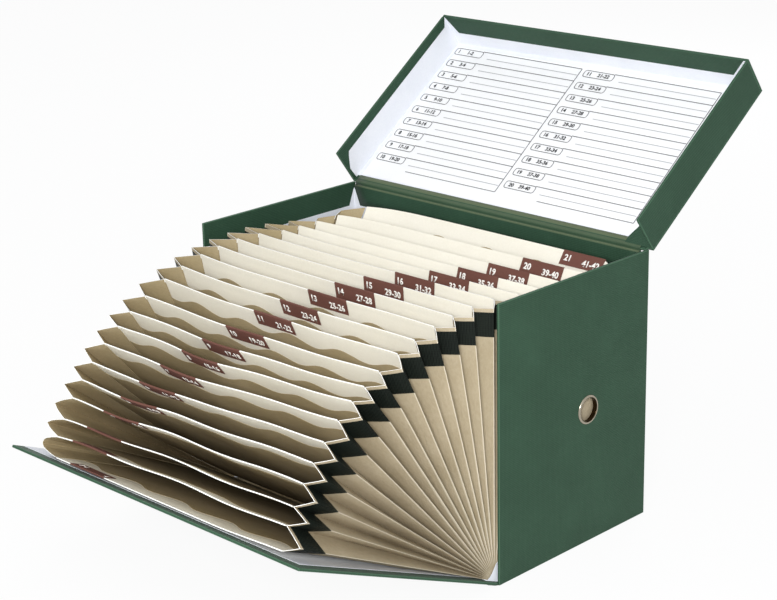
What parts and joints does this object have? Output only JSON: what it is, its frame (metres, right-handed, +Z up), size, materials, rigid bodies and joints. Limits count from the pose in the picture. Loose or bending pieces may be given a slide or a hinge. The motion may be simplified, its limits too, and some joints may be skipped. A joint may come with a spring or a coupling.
{
  "type": "expanding file box",
  "caption": "Cloth-covered document box with a hinged lid and a drop front that spreads a fan of pleated, labelled paper pockets; a metal finger ring sits in one side.",
  "frame": {"origin": "middle of the underside of the case", "axes": "+X to the side with the finger ring, +Y to the back where the lid is hinged, +Z up"},
  "size_m": [0.3866, 0.6111, 0.4126],
  "materials": {
    "book_cloth": "matt dark green woven book cloth over greyboard",
    "lining_paper": "matt white lining paper",
    "index_paper": "smooth white paper with fine ruled lines",
    "nickel": "bright nickel plate",
    "kraft_paper": "matt brown kraft paper",
    "black_tape": "matt black cloth tape",
    "divider_card": "matt cream card with brown paper index labels"
  },
  "bodies": {
    "case": {"base_board": "book_cloth", "back_wall": "book_cloth", "left_wall": "book_cloth", "right_wall": "book_cloth", "case_lining": "lining_paper", "finger_ring": "nickel", "ring_washer": "nickel", "lid_hinge_cloth": "book_cloth", "flap_hinge_cloth": "book_cloth", "pocket_spine": "kraft_paper", "gusset_left": "kraft_paper", "gusset_right": "kraft_paper", "gusset_tapes": "black_tape", "divider_20": "divider_card", "pocket_sheet_20": "kraft_paper"},
    "lid": {"lid_panel": "book_cloth", "lid_front_rim": "book_cloth", "lid_side_rims": "book_cloth", "lid_lining": "lining_paper", "index_sheet": "index_paper"},
    "drop_front": {"flap_board": "book_cloth", "flap_lining": "lining_paper"},
    "pocket_01": {"divider_01": "divider_card", "pocket_sheet_01": "kraft_paper"},
    "pocket_02": {"divider_02": "divider_card", "pocket_sheet_02": "kraft_paper"},
    "pocket_03": {"divider_03": "divider_card", "pocket_sheet_03": "kraft_paper"},
    "pocket_04": {"divider_04": "divider_card", "pocket_sheet_04": "kraft_paper"},
    "pocket_05": {"divider_05": "divider_card", "pocket_sheet_05": "kraft_paper"},
    "pocket_06": {"divider_06": "divider_card", "pocket_sheet_06": "kraft_paper"},
    "pocket_07": {"divider_07": "divider_card", "pocket_sheet_07": "kraft_paper"},
    "pocket_08": {"divider_08": "divider_card", "pocket_sheet_08": "kraft_paper"},
    "pocket_09": {"divider_09": "divider_card", "pocket_sheet_09": "kraft_paper"},
    "pocket_10": {"divider_10": "divider_card", "pocket_sheet_10": "kraft_paper"},
    "pocket_11": {"divider_11": "divider_card", "pocket_sheet_11": "kraft_paper"},
    "pocket_12": {"divider_12": "divider_card", "pocket_sheet_12": "kraft_paper"},
    "pocket_13": {"divider_13": "divider_card", "pocket_sheet_13": "kraft_paper"},
    "pocket_14": {"divider_14": "divider_card", "pocket_sheet_14": "kraft_paper"},
    "pocket_15": {"divider_15": "divider_card", "pocket_sheet_15": "kraft_paper"},
    "pocket_16": {"divider_16": "divider_card", "pocket_sheet_16": "kraft_paper"},
    "pocket_17": {"divider_17": "divider_card", "pocket_sheet_17": "kraft_paper"},
    "pocket_18": {"divider_18": "divider_card", "pocket_sheet_18": "kraft_paper"},
    "pocket_19": {"divider_19": "divider_card", "pocket_sheet_19": "kraft_paper"}
  },
  "joints": [
    {"name": "lid_hinge", "type": "hinge", "parent": "case", "child": "lid", "pos_m": [0, 0.0995, 0.259], "axis": [1, 0, 0], "range_deg": [0, 144]},
    {"name": "drop_front_hinge", "type": "hinge", "parent": "case", "child": "drop_front", "pos_m": [0, -0.1035, 0.003], "axis": [-1, 0, 0], "range_deg": [0, 67], "deforming": ["gusset_left", "gusset_right", "gusset_tapes"]},
    {"name": "pocket_01_hinge", "type": "hinge", "parent": "case", "child": "pocket_01", "pos_m": [0, -0.1035, 0.003], "axis": [-1, 0, 0], "range_deg": [0, 63.75]},
    {"name": "pocket_02_hinge", "type": "hinge", "parent": "case", "child": "pocket_02", "pos_m": [0, -0.1035, 0.003], "axis": [-1, 0, 0], "range_deg": [0, 61.7]},
    {"name": "pocket_03_hinge", "type": "hinge", "parent": "case", "child": "pocket_03", "pos_m": [0, -0.1035, 0.003], "axis": [-1, 0, 0], "range_deg": [0, 59.5]},
    {"name": "pocket_04_hinge", "type": "hinge", "parent": "case", "child": "pocket_04", "pos_m": [0, -0.1035, 0.003], "axis": [-1, 0, 0], "range_deg": [0, 57.16]},
    {"name": "pocket_05_hinge", "type": "hinge", "parent": "case", "child": "pocket_05", "pos_m": [0, -0.1035, 0.003], "axis": [-1, 0, 0], "range_deg": [0, 54.68]},
    {"name": "pocket_06_hinge", "type": "hinge", "parent": "case", "child": "pocket_06", "pos_m": [0, -0.1035, 0.003], "axis": [-1, 0, 0], "range_deg": [0, 52.05]},
    {"name": "pocket_07_hinge", "type": "hinge", "parent": "case", "child": "pocket_07", "pos_m": [0, -0.1035, 0.003], "axis": [-1, 0, 0], "range_deg": [0, 49.28]},
    {"name": "pocket_08_hinge", "type": "hinge", "parent": "case", "child": "pocket_08", "pos_m": [0, -0.1035, 0.003], "axis": [-1, 0, 0], "range_deg": [0, 46.36]},
    {"name": "pocket_09_hinge", "type": "hinge", "parent": "case", "child": "pocket_09", "pos_m": [0, -0.1035, 0.003], "axis": [-1, 0, 0], "range_deg": [0, 43.29]},
    {"name": "pocket_10_hinge", "type": "hinge", "parent": "case", "child": "pocket_10", "pos_m": [0, -0.1035, 0.003], "axis": [-1, 0, 0], "range_deg": [0, 40.09]},
    {"name": "pocket_11_hinge", "type": "hinge", "parent": "case", "child": "pocket_11", "pos_m": [0, -0.1035, 0.003], "axis": [-1, 0, 0], "range_deg": [0, 36.73]},
    {"name": "pocket_12_hinge", "type": "hinge", "parent": "case", "child": "pocket_12", "pos_m": [0, -0.1035, 0.003], "axis": [-1, 0, 0], "range_deg": [0, 33.24]},
    {"name": "pocket_13_hinge", "type": "hinge", "parent": "case", "child": "pocket_13", "pos_m": [0, -0.1035, 0.003], "axis": [-1, 0, 0], "range_deg": [0, 29.59]},
    {"name": "pocket_14_hinge", "type": "hinge", "parent": "case", "child": "pocket_14", "pos_m": [0, -0.1035, 0.003], "axis": [-1, 0, 0], "range_deg": [0, 25.81]},
    {"name": "pocket_15_hinge", "type": "hinge", "parent": "case", "child": "pocket_15", "pos_m": [0, -0.1035, 0.003], "axis": [-1, 0, 0], "range_deg": [0, 21.88]},
    {"name": "pocket_16_hinge", "type": "hinge", "parent": "case", "child": "pocket_16", "pos_m": [0, -0.1035, 0.003], "axis": [-1, 0, 0], "range_deg": [0, 17.8]},
    {"name": "pocket_17_hinge", "type": "hinge", "parent": "case", "child": "pocket_17", "pos_m": [0, -0.1035, 0.003], "axis": [-1, 0, 0], "range_deg": [0, 13.58]},
    {"name": "pocket_18_hinge", "type": "hinge", "parent": "case", "child": "pocket_18", "pos_m": [0, -0.1035, 0.003], "axis": [-1, 0, 0], "range_deg": [0, 9.21]},
    {"name": "pocket_19_hinge", "type": "hinge", "parent": "case", "child": "pocket_19", "pos_m": [0, -0.1035, 0.003], "axis": [-1, 0, 0], "range_deg": [0, 4.7]}
  ],
  "couplings": [
    {"joint": "pocket_01_hinge", "follows": "drop_front_hinge", "ratio": 0.95075},
    {"joint": "pocket_02_hinge", "follows": "drop_front_hinge", "ratio": 0.92014},
    {"joint": "pocket_03_hinge", "follows": "drop_front_hinge", "ratio": 0.88737},
    {"joint": "pocket_04_hinge", "follows": "drop_front_hinge", "ratio": 0.85244},
    {"joint": "pocket_05_hinge", "follows": "drop_front_hinge", "ratio": 0.81536},
    {"joint": "pocket_06_hinge", "follows": "drop_front_hinge", "ratio": 0.77611},
    {"joint": "pocket_07_hinge", "follows": "drop_front_hinge", "ratio": 0.73471},
    {"joint": "pocket_08_hinge", "follows": "drop_front_hinge", "ratio": 0.69115},
    {"joint": "pocket_09_hinge", "follows": "drop_front_hinge", "ratio": 0.64542},
    {"joint": "pocket_10_hinge", "follows": "drop_front_hinge", "ratio": 0.59754},
    {"joint": "pocket_11_hinge", "follows": "drop_front_hinge", "ratio": 0.5475},
    {"joint": "pocket_12_hinge", "follows": "drop_front_hinge", "ratio": 0.49531},
    {"joint": "pocket_13_hinge", "follows": "drop_front_hinge", "ratio": 0.44095},
    {"joint": "pocket_14_hinge", "follows": "drop_front_hinge", "ratio": 0.38443},
    {"joint": "pocket_15_hinge", "follows": "drop_front_hinge", "ratio": 0.32576},
    {"joint": "pocket_16_hinge", "follows": "drop_front_hinge", "ratio": 0.26492},
    {"joint": "pocket_17_hinge", "follows": "drop_front_hinge", "ratio": 0.20193},
    {"joint": "pocket_18_hinge", "follows": "drop_front_hinge", "ratio": 0.13678},
    {"joint": "pocket_19_hinge", "follows": "drop_front_hinge", "ratio": 0.06947}
  ]
}
